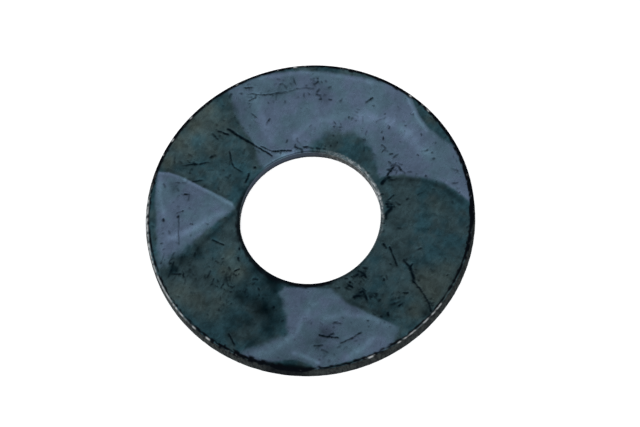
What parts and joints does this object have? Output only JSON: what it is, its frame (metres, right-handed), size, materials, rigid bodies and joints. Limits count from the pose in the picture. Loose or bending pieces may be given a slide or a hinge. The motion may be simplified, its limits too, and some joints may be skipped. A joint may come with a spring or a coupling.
{
  "type": "flat washer",
  "caption": "Round flat steel washer with a central bolt hole, rolled upper edges and a lightly creased, blackened top face.",
  "frame": {"origin": "centre of the hole at the flat underside", "axes": "+Z along the hole, out of the creased top face with the rolled edges"},
  "size_m": [0.021, 0.021, 0.001],
  "materials": {
    "blackened_steel": "black oxide, satin, slightly mottled blue-grey and green-brown, with scratches and worn edges"
  },
  "bodies": {
    "root": {"washer": "blackened_steel"}
  },
  "joints": []
}
